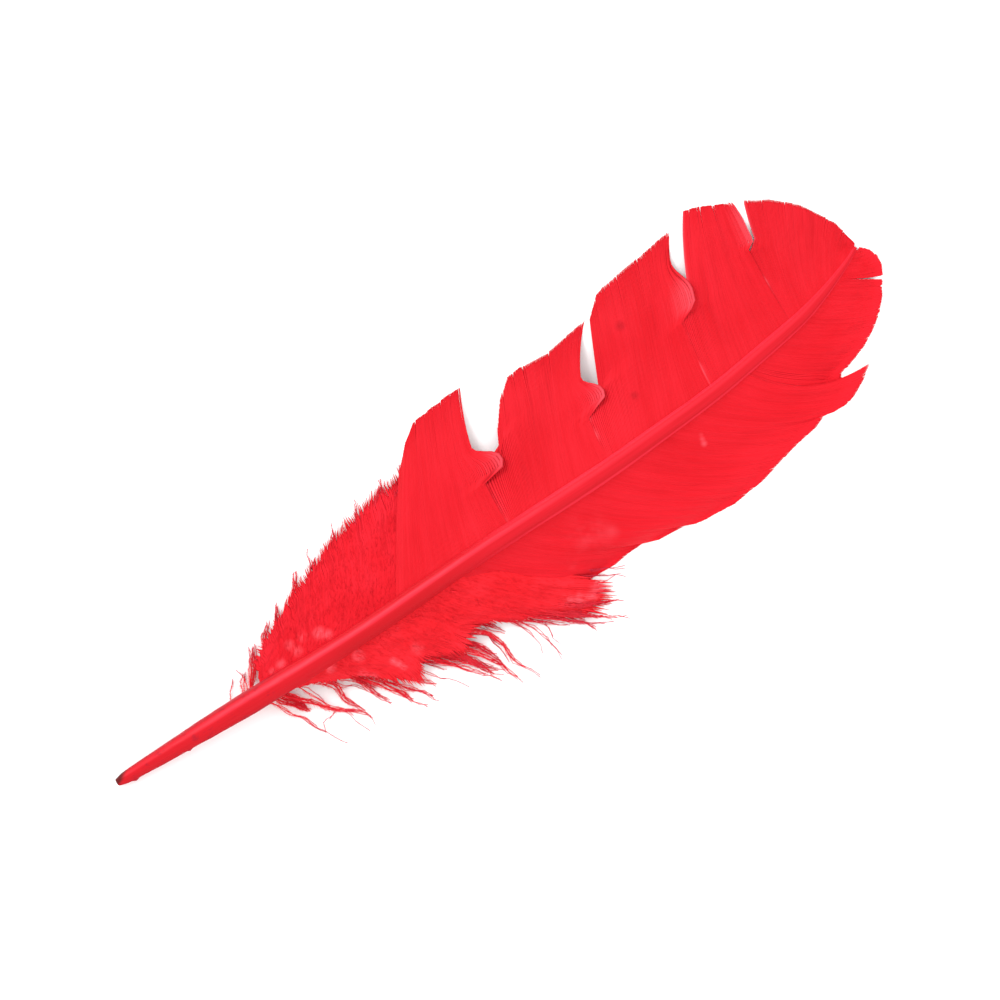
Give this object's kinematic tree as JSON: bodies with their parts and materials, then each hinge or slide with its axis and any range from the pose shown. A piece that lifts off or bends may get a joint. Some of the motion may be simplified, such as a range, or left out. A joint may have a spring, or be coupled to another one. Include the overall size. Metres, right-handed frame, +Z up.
{
  "type": "turkey feather",
  "caption": "Dyed wing feather lying flat: bare tapered quill, arched shaft, wide split inner vane, narrow notched outer vane and loose down at their base.",
  "frame": {"origin": "on the surface that the feather lies on, under the middle of its box", "axes": "+X from the quill tip to the feather's tip along the length, +Y towards the wide inner vane, +Z up, out of the upper side"},
  "size_m": [0.28, 0.0858, 0.0144],
  "materials": {
    "feather": "dyed keratin, satin vanes with a glossy quill"
  },
  "bodies": {
    "root": {"feather": "feather"}
  },
  "joints": []
}
